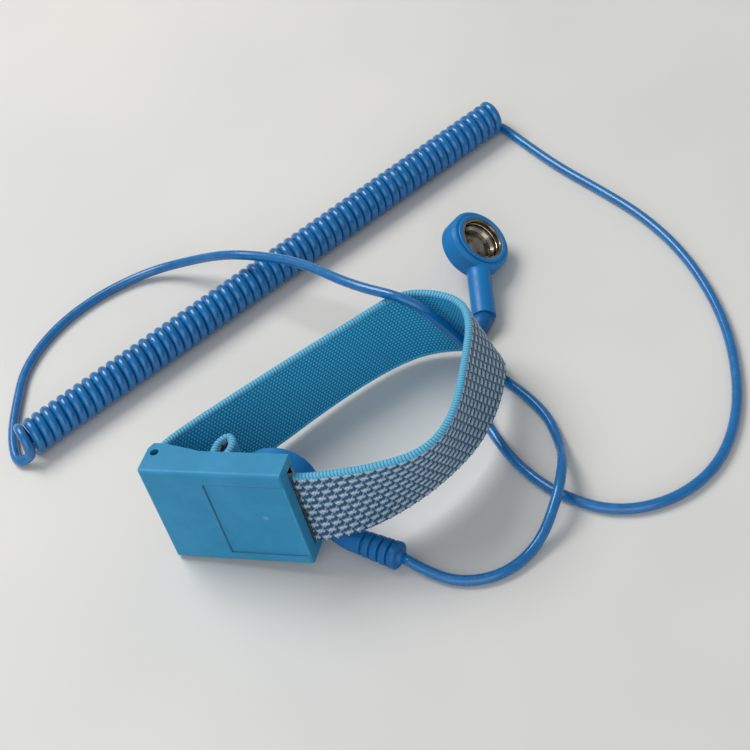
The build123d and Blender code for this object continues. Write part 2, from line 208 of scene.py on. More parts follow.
# %% Build the shared groups
mottle, mottle_in, mottle_out = new_group(
    "mottle",
    [
        ("Colour", "NodeSocketColor", (0.1, 0.3, 0.5, 1)),
        ("Second colour", "NodeSocketColor", (0.1, 0.35, 0.55, 1)),
        ("Blotches per metre", "NodeSocketFloat", 90.0),
    ],
    [("Colour", "NodeSocketColor"), ("Roughness change", "NodeSocketFloat")],
)
place = add(mottle, "ShaderNodeTexCoord").outputs["Object"]
blotches = add(
    mottle,
    "ShaderNodeTexNoise",
    Vector=place,
    Scale=mottle_in.outputs["Blotches per metre"],
    Detail=4.0,
    Roughness=0.6,
)
share = ramp(mottle, blotches.outputs["Fac"], 0.35, 0.68)
mixed = mix_colour(mottle, share, mottle_in.outputs["Colour"], mottle_in.outputs["Second colour"])
mottle.links.new(mixed, mottle_out.inputs["Colour"])
smears = add(mottle, "ShaderNodeTexNoise", Vector=place, Scale=420.0, Detail=3.0)
change = ramp(mottle, smears.outputs["Fac"], 0.3, 0.7, -0.06, 0.08)
mottle.links.new(change, mottle_out.inputs["Roughness change"])

# The edges are painted pale: partly worn, partly a painted highlight standing in for the light on
# the real rounded edges.
WEAR_AND_HIGHLIGHT_REACH, SOFT_EDGE = 0.00045, 0.0004
wear_and_highlight, wear_and_highlight_in, wear_and_highlight_out = new_group(
    "edge wear and highlight",
    [("Start", "NodeSocketFloat", 0.01), ("Full", "NodeSocketFloat", 0.16)],
    [("Mask", "NodeSocketFloat")],
)
rounded = add(wear_and_highlight, "ShaderNodeBevel", {"samples": 8}, Radius=WEAR_AND_HIGHLIGHT_REACH)
straight = add(wear_and_highlight, "ShaderNodeNewGeometry").outputs["Normal"]
agree = wear_and_highlight.nodes.new("ShaderNodeVectorMath")
agree.operation = "DOT_PRODUCT"
wear_and_highlight.links.new(rounded.outputs["Normal"], agree.inputs[0])
wear_and_highlight.links.new(straight, agree.inputs[1])
sharp = maths(wear_and_highlight, "SUBTRACT", 1.0, agree.outputs["Value"])
speck = add(
    wear_and_highlight,
    "ShaderNodeTexNoise",
    Vector=add(wear_and_highlight, "ShaderNodeTexCoord").outputs["Object"],
    Scale=700.0,
    Detail=3.0,
)
broken = maths(wear_and_highlight, "MULTIPLY_ADD", speck.outputs["Fac"], 0.06, -0.03)
edge = maths(wear_and_highlight, "ADD", sharp, broken)
span = wear_and_highlight.nodes.new("ShaderNodeMapRange")
wear_and_highlight.links.new(edge, span.inputs[0])
wear_and_highlight.links.new(wear_and_highlight_in.outputs["Start"], span.inputs[1])
wear_and_highlight.links.new(wear_and_highlight_in.outputs["Full"], span.inputs[2])
wear_and_highlight.links.new(span.outputs[0], wear_and_highlight_out.inputs["Mask"])

grain, grain_in, grain_out = new_group(
    "moulded grain",
    [
        ("Grains per metre", "NodeSocketFloat", 2500.0),
        ("Depth", "NodeSocketFloat", 0.2),
        ("Waves per metre", "NodeSocketFloat", 160.0),
    ],
    [("Normal", "NodeSocketVector")],
)
place = add(grain, "ShaderNodeTexCoord").outputs["Object"]
grains, wave_count = grain_in.outputs["Grains per metre"], grain_in.outputs["Waves per metre"]
pits = add(grain, "ShaderNodeTexNoise", Vector=place, Scale=grains, Detail=2.0)
waves = add(grain, "ShaderNodeTexNoise", Vector=place, Scale=wave_count, Detail=1.0)
height = maths(grain, "MULTIPLY_ADD", waves.outputs["Fac"], 2.0, pits.outputs["Fac"])
soft_edge = add(grain, "ShaderNodeBevel", {"samples": 8}, Radius=SOFT_EDGE).outputs["Normal"]
bump = add(
    grain,
    "ShaderNodeBump",
    Strength=grain_in.outputs["Depth"],
    Distance=0.00008,
    Height=height,
    Normal=soft_edge,
)
grain.links.new(bump.outputs["Normal"], grain_out.inputs["Normal"])
print("shared groups", [g.name for g in bpy.data.node_groups])

# %% [markdown]
# ## Finishes for plastic, metal and the table
# The buckle is satin moulded plastic: pale along its sharp edges, partly worn and partly as a
# painted highlight, faintly blotched and with a soft grain. The connectors are a deeper and
# glossier blue. The snap parts are nickel plate, whose colour has soft patches that are partly
# stains and partly painted warm and dark reflections. Each material keeps its own Principled
# shader.


# %% Plastic finishes


def group_node(tree, group, **values):
    """A shared group placed in a material."""
    node = tree.nodes.new("ShaderNodeGroup")
    node.node_tree = group
    for key, value in values.items():
        node.inputs[key.replace("_", " ")].default_value = value
    return node


def moulded(name, colour, second, edge_colour, roughness, coat, depth, wear_and_highlight_share=0.6):
    """Moulded plastic: two close colours, pale edges that are partly worn and partly a painted
    highlight, and a fine grain.
    """
    material = bpy.data.materials.new(name)
    material.use_nodes = True
    tree = material.node_tree
    shader = tree.nodes["Principled BSDF"]
    base = group_node(tree, mottle, Colour=colour, Second_colour=second)
    # Pale edges: partly worn, partly a painted highlight.
    edges = group_node(tree, wear_and_highlight)
    mask = maths(tree, "MULTIPLY", edges.outputs["Mask"], wear_and_highlight_share)
    clamp = add(tree, "ShaderNodeClamp", Value=mask).outputs[0]
    tree.links.new(
        mix_colour(tree, clamp, base.outputs["Colour"], edge_colour), shader.inputs["Base Color"]
    )
    rough = maths(tree, "ADD", base.outputs["Roughness change"], roughness)
    tree.links.new(rough, shader.inputs["Roughness"])
    surface = group_node(tree, grain, Depth=depth)
    tree.links.new(surface.outputs["Normal"], shader.inputs["Normal"])
    shader.inputs["Coat Weight"].default_value = coat
    shader.inputs["Coat Roughness"].default_value = 0.18
    shader.inputs["Specular IOR Level"].default_value = 0.36
    return material, tree, shader


buckle_finish, buckle_tree, buckle_shader = moulded(
    "buckle plastic", rgb(26, 128, 172), rgb(36, 136, 180), rgb(104, 196, 232), 0.5, 0.04, 0.22
)
lever_finish, _, _ = moulded(
    "lever plastic", rgb(24, 124, 168), rgb(34, 132, 176), rgb(96, 188, 226), 0.5, 0.04, 0.25
)
connector_finish, _, _ = moulded(
    "connector plastic",
    rgb(0, 112, 180), rgb(0, 120, 188), rgb(60, 156, 214),
    0.42, 0.05, 0.16, 0.4,
)
relief_finish, _, _ = moulded(
    "strain relief rubber",
    rgb(0, 92, 154), rgb(0, 100, 162), rgb(50, 132, 196),
    0.46, 0.05, 0.3, 0.3,
)
print("plastics", buckle_finish.name, connector_finish.name, relief_finish.name)

# %% Metal finishes


def plated(name, colour, second, roughness, scratches=0.12, streak=(1.0, 1.0, 1.0)):
    """Plated or rolled metal with soft patches of stain and painted reflection, and fine rubbing
    marks.
    """
    material = bpy.data.materials.new(name)
    material.use_nodes = True
    tree = material.node_tree
    shader = tree.nodes["Principled BSDF"]
    shader.inputs["Metallic"].default_value = 1.0
    place = add(tree, "ShaderNodeTexCoord").outputs["Object"]
    stretched = add(tree, "ShaderNodeMapping", Vector=place, Scale=streak).outputs[0]
    # Soft patches between the two colours: stains, and on the nickel also painted warm and dark
    # reflections.
    stains_and_reflections = add(tree, "ShaderNodeTexNoise", Vector=place, Scale=260.0, Detail=4.0)
    share = ramp(tree, stains_and_reflections.outputs["Fac"], 0.4, 0.7)
    tree.links.new(mix_colour(tree, share, colour, second), shader.inputs["Base Color"])
    rubbed = add(tree, "ShaderNodeTexNoise", Vector=stretched, Scale=1800.0, Detail=3.0)
    rough = ramp(tree, rubbed.outputs["Fac"], 0.3, 0.7, roughness * 0.7, roughness * 1.5)
    tree.links.new(rough, shader.inputs["Roughness"])
    bump = add(
        tree, "ShaderNodeBump", Strength=scratches, Distance=0.00003, Height=rubbed.outputs["Fac"]
    )
    tree.links.new(bump.outputs["Normal"], shader.inputs["Normal"])
    return material


nickel_finish = plated("nickel plate", rgb(158, 153, 142), rgb(96, 90, 76), 0.16)
spring_finish = plated("spring wire", rgb(225, 216, 188), rgb(196, 178, 128), 0.12)
steel_finish = plated("pin steel", rgb(150, 150, 150), rgb(120, 118, 114), 0.3)
sheet_finish = plated("stainless sheet", rgb(132, 130, 126), rgb(92, 88, 82), 0.28, 0.2, (1, 6, 1))
brass_finish = plated("terminal brass", rgb(206, 176, 104), rgb(176, 144, 84), 0.3)
resistor_finish, _, _ = moulded(
    "resistor body", rgb(196, 172, 128), rgb(186, 160, 112), rgb(220, 200, 160), 0.4, 0.2, 0.1
)

table_finish = bpy.data.materials.new("pale table")
table_finish.use_nodes = True
tree = table_finish.node_tree
place = add(tree, "ShaderNodeTexCoord").outputs["Object"]
clouds = add(tree, "ShaderNodeTexNoise", Vector=place, Scale=9.0, Detail=3.0)
share = ramp(tree, clouds.outputs["Fac"], 0.3, 0.7)
shader = tree.nodes["Principled BSDF"]
tree.links.new(
    mix_colour(tree, share, rgb(214, 213, 209), rgb(206, 206, 204)), shader.inputs["Base Color"]
)
shader.inputs["Roughness"].default_value = 0.62
table_mesh.materials.append(table_finish)
print("metals", nickel_finish.name, sheet_finish.name, "and", table_finish.name)

# %% [markdown]
# ## Marks on the buckle
# The face has a shallow square recess, which is in the solid itself. The shade along its three
# edges is painted as three thin dark lines. Near its middle is the faint round witness of the
# moulding gate. Painted shade and witness have no height of their own, so masks made from
# distances to their places colour them. The strap leans a little, so places are given in its own
# directions.

# %% The strap's own directions
MM = 0.001
LEAN, LIFT = math.radians(5.0), math.radians(5.3)
STRAP_ORIGIN = Vector((-0.0132, -0.03395, 0.00217))
tilted = math.cos(LEAN)
strap_x = Vector((math.cos(LIFT), 0, math.sin(LIFT)))
strap_up = Vector((-math.sin(LIFT) * tilted, math.sin(LEAN), math.cos(LIFT) * tilted))
strap_in = strap_up.cross(strap_x)


def at(x, depth, height):
    """A place along the buckle, a depth behind its face and a height above its base, in mm."""
    return STRAP_ORIGIN + (strap_x * x + strap_in * depth + strap_up * height) * MM


base_low, base_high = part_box("buckle_base")
print("buckle's box in mm", [round(1000 * v, 1) for v in base_high - base_low])

# %% Masks made from distances


def distance_mask(tree, centre, near, far):
    """1 within near of a point, falling to 0 at far, in metres."""
    place = add(tree, "ShaderNodeTexCoord").outputs["Object"]
    offset = tree.nodes.new("ShaderNodeVectorMath")
    offset.operation = "DISTANCE"
    tree.links.new(place, offset.inputs[0])
    offset.inputs[1].default_value = centre
    return ramp(tree, offset.outputs["Value"], near, far, 1.0, 0.0)


def along_axis(tree, axis, centre):
    """The distance in mm, with its sign, from a place along one of the buckle's directions."""
    place = add(tree, "ShaderNodeTexCoord").outputs["Object"]
    product = tree.nodes.new("ShaderNodeVectorMath")
    product.operation = "DOT_PRODUCT"
    tree.links.new(place, product.inputs[0])
    product.inputs[1].default_value = axis * 1000
    return maths(tree, "SUBTRACT", product.outputs["Value"], 1000 * axis.dot(centre))


def thin_line(tree, distance, half_width):
    """1 on a line, 0 beyond half_width mm from it."""
    return ramp(tree, maths(tree, "ABSOLUTE", distance), 0.3 * half_width, half_width, 1.0, 0.0)


def both(tree, first, second):
    """Where two masks overlap."""
    return maths(tree, "MULTIPLY", first, second)


print("made", [helper.__name__ for helper in (distance_mask, along_axis, thin_line, both)])

# %% Paint shade along the recess
RECESS_LEFT, RECESS_LOW, RECESS_HIGH = -2.05, 2.65, 23.85
RECESS_TALL, OVERRUN, RECESS_DEPTH, RECESS_SHADE = RECESS_HIGH - RECESS_LOW, 0.12, 0.42, 0.72
corner = at(RECESS_LEFT, 0.3, RECESS_LOW)
over = along_axis(buckle_tree, strap_x, corner)
above = along_axis(buckle_tree, strap_up, corner)
deep = along_axis(buckle_tree, strap_in, at(0, 0, 0))
right_of = maths(buckle_tree, "GREATER_THAN", over, -OVERRUN)
above_low = maths(buckle_tree, "GREATER_THAN", above, -OVERRUN)
below_top = maths(buckle_tree, "LESS_THAN", above, RECESS_TALL + OVERRUN)
tall_span = both(buckle_tree, above_low, below_top)
left_line = both(buckle_tree, thin_line(buckle_tree, over, 0.24), tall_span)
low_line = both(buckle_tree, thin_line(buckle_tree, above, 0.16), right_of)
from_top = maths(buckle_tree, "SUBTRACT", above, RECESS_TALL)
top_line = both(buckle_tree, thin_line(buckle_tree, from_top, 0.18), right_of)
lines = maths(buckle_tree, "MAXIMUM", maths(buckle_tree, "MAXIMUM", left_line, low_line), top_line)
front = maths(buckle_tree, "LESS_THAN", deep, RECESS_DEPTH)
# Painted shade: thin dark lines along the recess's left, low and top edges, where its walls are in
# shade.
recess_shade = both(buckle_tree, both(buckle_tree, lines, front), RECESS_SHADE)
painted = buckle_shader.inputs["Base Color"].links[0].from_socket
painted = mix_colour(buckle_tree, recess_shade, painted, rgb(14, 76, 116))
print("recess in mm", round(RECESS_TALL, 2), "tall")

# %% Add the gate mark
ring_place, core_place = at(8.2, 0.3, 14.3), at(9.3, 0.3, 14.1)
ring = distance_mask(buckle_tree, ring_place, 0.0009, 0.0015)
core = distance_mask(buckle_tree, core_place, 0.0003, 0.0009)
darker = mix_colour(buckle_tree, both(buckle_tree, ring, 0.10), painted, rgb(40, 110, 160))
lighter = mix_colour(buckle_tree, both(buckle_tree, core, 0.22), darker, rgb(150, 205, 232))
buckle_tree.links.new(lighter, buckle_shader.inputs["Base Color"])
print("gate mark at", [round(v, 4) for v in core_place])

# %% Give the solids their finishes
finish_of = {
    "buckle_base": buckle_finish,
    "clamp_lever": lever_finish,
    "hinge_pin": steel_finish,
    "contact_plate": sheet_finish,
    "retainer_plate": sheet_finish,
    "plate_rivets": steel_finish,
    "stud_rivet": nickel_finish,
    "snap_stud": nickel_finish,
    "series_resistor": resistor_finish,
}
for end in ("wrist", "ground"):
    finish_of[f"{end}_snap_housing"] = connector_finish
    finish_of[f"{end}_back_cap"] = connector_finish
    finish_of[f"{end}_socket_cup"] = nickel_finish
    finish_of[f"{end}_spring_ring"] = spring_finish
    finish_of[f"{end}_socket_rivet"] = nickel_finish
    finish_of[f"{end}_ring_terminal"] = brass_finish
for name, finish in finish_of.items():
    mesh = nodes[name].data
    mesh.materials.clear()
    mesh.materials.append(finish)
    print(name, "is", finish.name)

# %% [markdown]
# ## The cord's line
# The cord is one continuous length: a lead from the wrist connector, sixty-three tight turns,
# and a lead to the free connector. Its line is one smooth NURBS spline. The leads follow the
# solid model's route, with a few points moved, and a loop adds the turns as more points of
# the same spline. Tubes are then built round points that are read from that spline.

# %% Route points of the two leads
ON_TABLE = 0.00119
wrist_route = [
    (0.02129, -0.02908, 0.00292),
    (0.0266, -0.0310, 0.0015),
    (0.0346, -0.0326, ON_TABLE),
    (0.0432, -0.0294, ON_TABLE),
    (0.0490, -0.0216, 0.0016),
    (0.0516, -0.0128, 0.0062),
    (0.0513, -0.0030, 0.0062),
    (0.0490, 0.0056, 0.0015),
    (0.0430, 0.0162, ON_TABLE),
    (0.0272, 0.0270, ON_TABLE),
    (0.0206, 0.0266, 0.0140),
    (0.0130, 0.0258, 0.0238),
    (-0.0020, 0.0304, 0.0220),
    (-0.0180, 0.0406, 0.0180),
    (-0.0308, 0.0456, 0.0144),
    (-0.0416, 0.0474, 0.0124),
    (-0.0536, 0.0508, 0.0060),
    (-0.0664, 0.0502, 0.0016),
    (-0.0774, 0.0410, ON_TABLE),
    (-0.0848, 0.0290, ON_TABLE),
    (-0.0876, 0.0154, ON_TABLE),
    (-0.0850, 0.0040, ON_TABLE),
    (-0.0826, -0.0044, ON_TABLE),
    (-0.0797, -0.0104, ON_TABLE),
    (-0.0770, -0.0137, ON_TABLE),
]
ground_route = [
    (0.0152, 0.1106, ON_TABLE),
    (0.0216, 0.1050, ON_TABLE),
    (0.0328, 0.0959, ON_TABLE),
    (0.0443, 0.0883, ON_TABLE),
    (0.0564, 0.0796, ON_TABLE),
    (0.0676, 0.0678, ON_TABLE),
    (0.0770, 0.0526, ON_TABLE),
    (0.0830, 0.0370, ON_TABLE),
    (0.0859, 0.0194, ON_TABLE),
    (0.0834, 0.0040, ON_TABLE),
    (0.0750, -0.0064, ON_TABLE),
    (0.0630, -0.0108, ON_TABLE),
    (0.0504, -0.0076, ON_TABLE),
    (0.0398, -0.0004, ON_TABLE),
    (0.0314, 0.0096, ON_TABLE),
    (0.0264, 0.0176, ON_TABLE),
    (0.0234, 0.0256, ON_TABLE),
    (0.0230, 0.0334, ON_TABLE),
    (0.02439, 0.0409, 0.0029),
]
print("route points", len(wrist_route), "and", len(ground_route))

# %% Add the turns of the curly cord
CORD_DIAMETER = 0.00236
TURNS, POINTS_PER_TURN = 63, 12
TURN_RADIUS, COIL_HEIGHT = 0.00337, 0.00455
FIRST_POINT, LAST_POINT = 2, TURNS * POINTS_PER_TURN
UNEVEN, LOOSE, LOOSE_TURNS, LEAN_OUT, LEAN_POINTS = 0.00005, 0.10, 1.2, 0.0010, 9
# The spline cuts inside its control points, so they stand further out than the turns.
point_radius = TURN_RADIUS / ((3 + math.cos(math.tau / POINTS_PER_TURN)) / 4)
coil_start = Vector((-0.0761, -0.0104, COIL_HEIGHT))
coil_end = Vector((0.0125, 0.1118, COIL_HEIGHT))
coil_way = (coil_end - coil_start).normalized()
up_way = Vector((0, 0, 1))
coil_side = coil_way.cross(up_way)
draw = random.Random(7)
uneven = [draw.uniform(-UNEVEN, UNEVEN) for _ in range(TURNS + 2)]
turn_points = []
for index in range(FIRST_POINT, LAST_POINT + 1):
    angle = math.tau * index / POINTS_PER_TURN
    turn, part = divmod(index, POINTS_PER_TURN)
    part /= POINTS_PER_TURN
    wander = uneven[turn] * (1 - part) + uneven[turn + 1] * part
    lean = LEAN_OUT * max(0.0, 1 - index / LEAN_POINTS)
    centre = coil_start.lerp(coil_end, index / LAST_POINT) + coil_way * (wander - lean)
    loose = 1 + LOOSE * max(0.0, 1 - index / (LOOSE_TURNS * POINTS_PER_TURN))
    offset = coil_side * math.sin(angle) - up_way * math.cos(angle)
    turn_points.append(tuple(centre + offset * point_radius * loose))
pitch = (coil_end - coil_start).length / TURNS
print("turn points", len(turn_points), "pitch mm", round(1000 * pitch, 3))

# %% Draw the spline and read its points


def spline_points(name, route, resolution):
    """Points along the smooth NURBS line that has these control points."""
    curve = bpy.data.curves.new(name, "CURVE")
    curve.dimensions = "3D"
    curve.resolution_u = resolution
    spline = curve.splines.new("NURBS")
    spline.points.add(len(route) - 1)
    for point, place in zip(spline.points, route):
        point.co = (*place, 1.0)
    spline.order_u = 3
    spline.use_endpoint_u = True
    holder = bpy.data.objects.new(name, curve)
    mesh = bpy.data.meshes.new_from_object(holder)
    line = [vertex.co.copy() for vertex in mesh.vertices]
    bpy.data.meshes.remove(mesh)
    bpy.data.objects.remove(holder)
    bpy.data.curves.remove(curve)
    return line


def length_of(line):
    """A line's length, from point to point."""
    return sum((after - before).length for before, after in zip(line, line[1:]))


cord_line = spline_points("cord line", wrist_route + turn_points + ground_route, 6)
print("cord points", len(cord_line), "length m", round(length_of(cord_line), 3))

# %% [markdown]
# ## Tubes
# A tube is a row of rings, one at each point of a line. Each ring's first direction is carried
# over from the ring before, with only the least turn, so the tube doesn't twist. A profile
# says how a ring's radius changes along the line, which makes ribs, slits and tapers.

# %% A tube along a line


def carried_frames(line):
    """For each point of a line: its direction and two square directions that don't twist."""
    frames = []
    side = up_way
    for index, point in enumerate(line):
        before = line[max(index - 1, 0)]
        after = line[min(index + 1, len(line) - 1)]
        way = (after - before).normalized()
        side = (side - way * side.dot(way)).normalized()
        frames.append((way, side, way.cross(side)))
    return frames


def mesh_object(name, points, faces, uvs=None):
    """A smooth object from points and faces, with an optional UV for each point."""
    mesh = bpy.data.meshes.new(name)
    mesh.from_pydata([tuple(p) for p in points], [], faces)
    mesh.update()
    mesh.polygons.foreach_set("use_smooth", [True] * len(mesh.polygons))
    if uvs is not None:
        layer = mesh.uv_layers.new(name="UVMap")
        corner_points = np.zeros(len(mesh.loops), np.int32)
        mesh.loops.foreach_get("vertex_index", corner_points)
        layer.data.foreach_set("uv", np.array(uvs, np.float32)[corner_points].ravel())
    obj = bpy.data.objects.new(name, mesh)
    scene.collection.objects.link(obj)
    return obj


CORD_SIDES = 12


def tube(name, line, radii, sides=CORD_SIDES):
    """A closed tube along a line; radii holds one radius for each point."""
    points, faces, uvs = [], [], []
    run = 0.0
    frames = carried_frames(line)
    for index, (place, (way, side, across)) in enumerate(zip(line, frames)):
        if index:
            run += (place - line[index - 1]).length
        for step in range(sides):
            angle = math.tau * step / sides
            outward = side * math.cos(angle) + across * math.sin(angle)
            points.append(place + outward * radii[index])
            uvs.append((run, step / sides))
    for ring in range(len(line) - 1):
        for step in range(sides):
            here, turned = ring * sides + step, ring * sides + (step + 1) % sides
            faces.append((here, turned, turned + sides, here + sides))
    faces.append(tuple(reversed(range(sides))))
    faces.append(tuple(range((len(line) - 1) * sides, len(line) * sides)))
    return mesh_object(name, points, faces, uvs=uvs)


print("sides of the cord", CORD_SIDES)

# %% [markdown]
# ## The cord's jacket
# The jacket is glossy blue polyurethane, slightly translucent at its edges; that is painted as a
# paler colour where its surface turns away from view. Its surface isn't perfectly smooth: fine
# unevenness breaks each turn's highlight into short dashes. Where the wrist connector turns, the
# first 85 mm of lead turns with it, so that length is its own tube; it meets the long tube end to
# end on the same line.

# %% The jacket finish
jacket_finish = bpy.data.materials.new("cord jacket")
jacket_finish.use_nodes = True
tree = jacket_finish.node_tree
shader = tree.nodes["Principled BSDF"]
base = group_node(
    tree, mottle, Colour=rgb(0, 98, 160), Second_colour=rgb(0, 106, 170), Blotches_per_metre=300.0
)
# Painted rim light: the colour turns paler where the jacket turns away from view, standing in for
# light through its translucent edges.
facing = add(tree, "ShaderNodeLayerWeight", Blend=0.35).outputs["Facing"]
rim_light_share = ramp(tree, facing, 0.45, 1.0, 0.0, 0.35)
jacket_colour = mix_colour(tree, rim_light_share, base.outputs["Colour"], rgb(40, 120, 190))
tree.links.new(jacket_colour, shader.inputs["Base Color"])
jacket_rough = maths(tree, "ADD", base.outputs["Roughness change"], 0.24)
tree.links.new(jacket_rough, shader.inputs["Roughness"])
dimples = group_node(tree, grain, Grains_per_metre=1100.0, Depth=0.14, Waves_per_metre=300.0)
tree.links.new(dimples.outputs["Normal"], shader.inputs["Normal"])
shader.inputs["Coat Weight"].default_value = 0.35
shader.inputs["Coat Roughness"].default_value = 0.12
shader.inputs["Specular IOR Level"].default_value = 0.5
print("jacket", jacket_finish.name)

# %% Cut the line and build both tubes
END_LENGTH = 0.085
run = 0.0
cut = 0
while run < END_LENGTH:
    run += (cord_line[cut + 1] - cord_line[cut]).length
    cut += 1
end_line = cord_line[: cut + 1]
long_line = cord_line[cut:]
cord_radius = CORD_DIAMETER / 2
wrist_end = tube("wrist_end_of_cord", end_line, [cord_radius] * len(end_line))
wrist_end.data.materials.append(jacket_finish)
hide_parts("wrist_lead")
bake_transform(wrist_end)
cord = tube("earthing_cord", long_line, [cord_radius] * len(long_line))
cord.data.materials.append(jacket_finish)
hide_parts("wrist_lead", "curly_cord", "ground_lead")
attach(cord, "strap")
print("end", round(length_of(end_line), 3), "rest", round(length_of(long_line), 3))

# %% [markdown]
# ## The elastic band's shape
# The band is one ribbon of knitted elastic. It leaves the clamp, goes round in a wide loop,
# turns round the lever's hub, runs back through the clamp and ends in a small folded loop.
# Its lower edge and its upper edge follow two slightly different lines, because the standing
# loop leans and bulges. A ruled surface between the two lines gives the twist that one line
# couldn't. Each line is a smooth spline in the buckle's own directions, in millimetres.

# %% Lines of the band's two edges
BAND_LOW, BAND_HIGH = 2.7, 22.7
band_start = [(1.3, 5.0), (9.0, 5.0), (16.6, 5.0)]
upper_loop = [
    (21.5, 5.6), (33.4, 8.4), (43.1, 13.1), (46.5, 23.6), (44.6, 40.7), (42.8, 53.1),
    (38.7, 60.1), (30.2, 62.9), (23.1, 61.9), (14.9, 51.9), (6.0, 41.8), (-2.7, 31.5),
    (-11.1, 21.2), (-16.4, 14.2),
]
lower_loop = [
    (20.5, 5.6), (28.1, 9.4), (37.2, 18.7), (44.5, 31.2), (46.9, 42.0), (46.8, 52.2),
    (45.7, 59.9), (40.5, 64.2), (33.3, 65.1), (23.9, 62.6), (15.0, 55.1), (5.7, 43.6),
    (-1.3, 33.3), (-9.5, 22.5), (-16.2, 13.8),
]
hub_turn = [(-17.5, 10.6), (-17.7, 7.2), (-17.7, 4.39), (-15.71, 2.4), (-12.9, 2.4)]
tail_fold = [
    (-7.6, 2.4), (-4.2, 2.7), (-3.9, 6.2), (-4.0, 10.0), (-4.35, 13.8), (-2.4, 16.4),
    (-0.45, 13.8), (-1.0, 10.0), (-1.7, 7.4), (-1.8, 6.0),
]


def edge_line(loop, steps):
    """Evenly spaced points, in mm, along one edge of the band, and its length."""
    route = band_start + loop + hub_turn + tail_fold
    smooth = spline_points("band edge", [(x, depth, 0.0) for x, depth in route], 60)
    line = np.array([(point.x, point.y) for point in smooth])
    run = np.concatenate([[0.0], np.cumsum(np.linalg.norm(np.diff(line, axis=0), axis=1))])
    wanted = np.linspace(0.0, run[-1], steps)
    return np.column_stack([np.interp(wanted, run, line[:, axis]) for axis in (0, 1)]), run[-1]


WEB_STEPS = 1180
upper_edge, upper_length = edge_line(upper_loop, WEB_STEPS)
lower_edge, lower_length = edge_line(lower_loop, WEB_STEPS)
print("band edges in mm", round(upper_length, 1), round(lower_length, 1))

# %% Places and outward directions on the band
frame_axes = np.array([strap_x, strap_in, strap_up])


def band_places(heights, upper=upper_edge, lower=lower_edge):
    """World places in metres, outward directions and upward directions, for a row of heights."""
    share = (np.asarray(heights) - BAND_LOW) / (BAND_HIGH - BAND_LOW)
    flat = lower[:, None, :] * (1 - share)[None, :, None] + upper[:, None, :] * share[None, :, None]
    tall = np.broadcast_to(np.asarray(heights)[None, :, None], (*flat.shape[:2], 1))
    local = np.concatenate([flat, tall], axis=2)
    along = np.gradient(local, axis=0)
    slope = (upper - lower) / (BAND_HIGH - BAND_LOW)
    rise = np.concatenate([slope, np.ones((len(upper), 1))], axis=1)
    rise = np.broadcast_to(rise[:, None, :], local.shape)
    along = along @ frame_axes
    rise = rise @ frame_axes
    out = np.cross(along, rise)
    out /= np.linalg.norm(out, axis=2, keepdims=True)
    rise = rise / np.linalg.norm(rise, axis=2, keepdims=True)
    world = np.array(STRAP_ORIGIN) + (local @ frame_axes) * MM
    return world, out, rise


def skin(name, rings, uvs=None, marks=None):
    """A closed form from a row of rings: an array of rings by points by 3, in metres."""
    count, around = rings.shape[:2]
    first = np.arange(count - 1)[:, None] * around
    step = np.arange(around)[None, :]
    turned = (step + 1) % around
    faces = np.stack(
        [first + step, first + turned, first + turned + around, first + step + around], axis=2
    ).reshape(-1, 4).tolist()
    faces.append(list(reversed(range(around))))
    faces.append(list(range((count - 1) * around, count * around)))
    flat_uvs = None if uvs is None else uvs.reshape(-1, 2)
    made = mesh_object(name, rings.reshape(-1, 3), faces, uvs=flat_uvs)
    for label, values in (marks or {}).items():
        mark = made.data.attributes.new(label, "FLOAT", "POINT")
        mark.data.foreach_set("value", values.astype(np.float32).ravel())
    return made


print("a band point lies at", [round(v, 4) for v in band_places([12.7])[0][600, 0]])

# %% [markdown]
# ## The knit
# Outside, silver conductive yarn makes rows of raised loops with smaller loops between them,
# and blue ground yarn shows as short cords between the rows. Inside there is only blue yarn,
# in a finer brick pattern of dots. The relief is real geometry: each point of the surface
# moves by a height that is worked out from its place along and across the band. The same
# sums give two marks for each point, silver yarn and relief, which the finish reads.

# %% Relief of the two faces
ROW, LOOP, GRAIN_ALONG, GRAIN_UP = 1.95, 2.35, 0.88, 0.80


def outside_relief(run, rise):
    """Relief 0 to 1 and silver share 0 to 1 of the outer face, for places in mm."""
    # Every loop and strand is a small bell: its place and its half widths are in mm.
    row = np.floor(rise / ROW)
    across = (rise / ROW - row - 0.5) * ROW
    along = ((run / LOOP + 0.36 * row) % 1.0) * LOOP
    lean = along - 0.35 * across
    big = np.exp(-(((lean - 0.75) / 0.46) ** 2) - (across / 0.42) ** 2)
    small = 0.78 * np.exp(-(((lean - 1.75) / 0.30) ** 2) - ((across + 0.16) / 0.40) ** 2)
    wrap = 0.78 * np.exp(-(((lean + 0.60) / 0.30) ** 2) - ((across + 0.16) / 0.40) ** 2)
    strand = 0.50 * np.exp(-(((along - 1.28 - 0.55 * across) / 0.17) ** 2))
    second = 0.42 * np.exp(-(((along - 0.22 + 0.50 * across) / 0.15) ** 2))
    silver = np.clip(1.7 * (big + small + wrap + strand + second) - 0.24, 0, 1)
    near_gap = np.exp(-(((np.abs(across) - ROW / 2) / 0.28) ** 2))
    cord_ribs = 0.34 * near_gap * (0.5 + 0.5 * np.cos(math.tau * run / 0.78))
    return np.clip(big + small + wrap + 0.8 * strand + 0.8 * second + cord_ribs, 0, 1), silver


def inside_relief(run, rise):
    """Relief 0 to 1 of the inner face: dots in a brick pattern that drifts sideways."""
    row = np.floor(rise / GRAIN_UP)
    across = rise / GRAIN_UP - row - 0.5
    along = (run / GRAIN_ALONG + 0.5 * row + 0.06 * row) % 1.0 - 0.5
    return np.exp(-((along / 0.30) ** 2) - (across / 0.34) ** 2)


loop_top = outside_relief(np.array(0.85), np.array(0.97))
print("relief at a loop", [round(float(v), 2) for v in loop_top])

